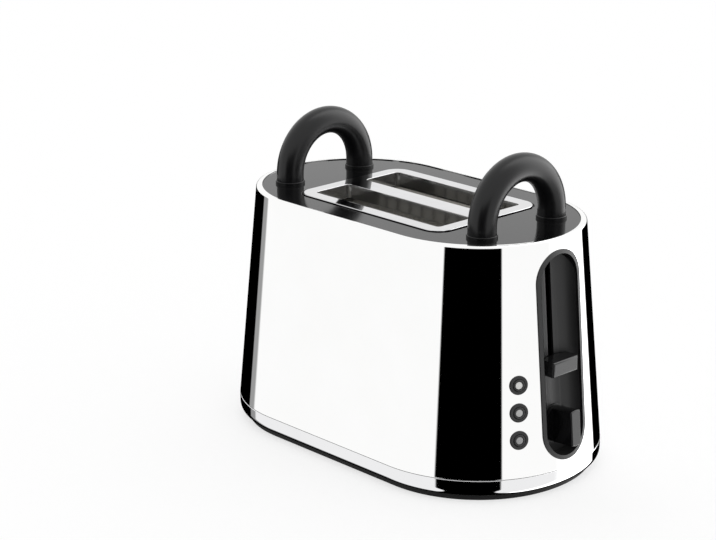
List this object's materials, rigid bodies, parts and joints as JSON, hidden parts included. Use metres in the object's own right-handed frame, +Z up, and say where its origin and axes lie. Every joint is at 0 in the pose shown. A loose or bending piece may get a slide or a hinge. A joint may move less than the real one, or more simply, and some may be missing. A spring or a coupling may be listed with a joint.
{
  "type": "toaster",
  "caption": "Polished steel two-slot toaster with black arch handles, a black lid, an end recess with a latched lever and browning knob, push buttons and a crumb tray.",
  "frame": {"origin": "on the table under the middle of the body, at the centre of the soft foot's underside", "axes": "+X along the body towards the lever end, +Z up, -Y towards the long side nearest the push buttons"},
  "size_m": [0.3248, 0.1916, 0.2444],
  "materials": {
    "polished_steel": "mirror-polished stainless steel",
    "bright_chrome": "bright chrome plate",
    "lid_black": "semi-gloss black moulding",
    "handle_black": "satin black moulding",
    "soft_black": "matt black rubber",
    "base_black": "matt black moulding",
    "recess_grey": "satin dark grey moulding",
    "control_black": "semi-gloss black moulding",
    "cap_grey": "satin light grey moulding",
    "sheet_steel": "plain sheet steel",
    "rod_steel": "ground steel",
    "screw_steel": "zinc-plated steel",
    "carriage_grey": "heat-proof grey moulding",
    "mica": "mica sheet",
    "ribbon_alloy": "dull resistance ribbon",
    "tray_aluminium": "plain aluminium sheet",
    "coil_copper": "lacquered copper winding",
    "board_green": "circuit board",
    "part_black": "moulded component",
    "terminal_cream": "cream moulding"
  },
  "bodies": {
    "toaster_body": {"outer_shell": "polished_steel", "base_ring": "bright_chrome", "base_pan": "base_black", "foot_ring": "soft_black", "foot_screws": "screw_steel", "top_cover": "lid_black", "slot_frame": "bright_chrome", "handle_tray_end": "handle_black", "handle_lever_end": "handle_black", "handle_collars": "handle_black", "handle_screws": "screw_steel", "control_liner": "recess_grey", "guide_rods": "rod_steel", "lift_spring": "rod_steel", "magnet_yoke": "sheet_steel", "magnet_coil": "coil_copper", "chamber_end_lever": "sheet_steel", "chamber_end_tray": "sheet_steel", "chamber_side_front": "sheet_steel", "chamber_side_rear": "sheet_steel", "heater_board_front": "mica", "heater_board_middle": "mica", "heater_board_rear": "mica", "heater_ribbons": "ribbon_alloy", "bread_guard_front_outer": "sheet_steel", "bread_guard_front_inner": "sheet_steel", "bread_guard_rear_outer": "sheet_steel", "bread_guard_rear_inner": "sheet_steel", "button_bezels": "control_black", "button_board": "board_green", "button_switches": "part_black", "browning_control": "part_black", "control_board": "board_green", "board_parts": "part_black", "terminal_block": "terminal_cream", "cord_inlet": "base_black", "inlet_nut": "base_black"},
    "carriage": {"carriage": "carriage_grey", "lever_arm": "sheet_steel", "bread_rack_front": "sheet_steel", "bread_rack_rear": "sheet_steel", "latch_plate": "sheet_steel"},
    "lever": {"lever_knob": "control_black"},
    "button_top": {"button_top": "cap_grey"},
    "button_middle": {"button_middle": "cap_grey"},
    "button_bottom": {"button_bottom": "cap_grey"},
    "browning_knob": {"browning_knob": "control_black", "browning_shaft": "rod_steel"},
    "crumb_tray": {"crumb_tray": "tray_aluminium", "crumb_tray_front": "bright_chrome"}
  },
  "joints": [
    {"name": "carriage_lift", "type": "slide", "parent": "toaster_body", "child": "carriage", "axis": [0, 0, 1], "range_m": [0, 0.07], "deforming": ["lift_spring"]},
    {"name": "lever_lift", "type": "slide", "parent": "toaster_body", "child": "lever", "axis": [-0.0893, 0, 0.996], "range_m": [0, 0.0704]},
    {"name": "button_top_press", "type": "slide", "parent": "toaster_body", "child": "button_top", "axis": [-0.9005, 0.4256, -0.0893], "range_m": [0, 0.0015], "stiffness_N_per_m": 300},
    {"name": "button_middle_press", "type": "slide", "parent": "toaster_body", "child": "button_middle", "axis": [-0.9005, 0.4256, -0.0893], "range_m": [0, 0.0015], "stiffness_N_per_m": 300},
    {"name": "button_bottom_press", "type": "slide", "parent": "toaster_body", "child": "button_bottom", "axis": [-0.9005, 0.4256, -0.0893], "range_m": [0, 0.0015], "stiffness_N_per_m": 300},
    {"name": "browning_turn", "type": "hinge", "parent": "toaster_body", "child": "browning_knob", "pos_m": [0.15569, 0, 0.0493], "axis": [0.996, 0, 0.0893], "range_deg": [-135, 135]},
    {"name": "crumb_tray_slide", "type": "slide", "parent": "toaster_body", "child": "crumb_tray", "axis": [-1, 0, 0], "range_m": [0, 0.19]}
  ],
  "couplings": [
    {"joint": "lever_lift", "follows": "carriage_lift", "ratio": 1.004}
  ]
}
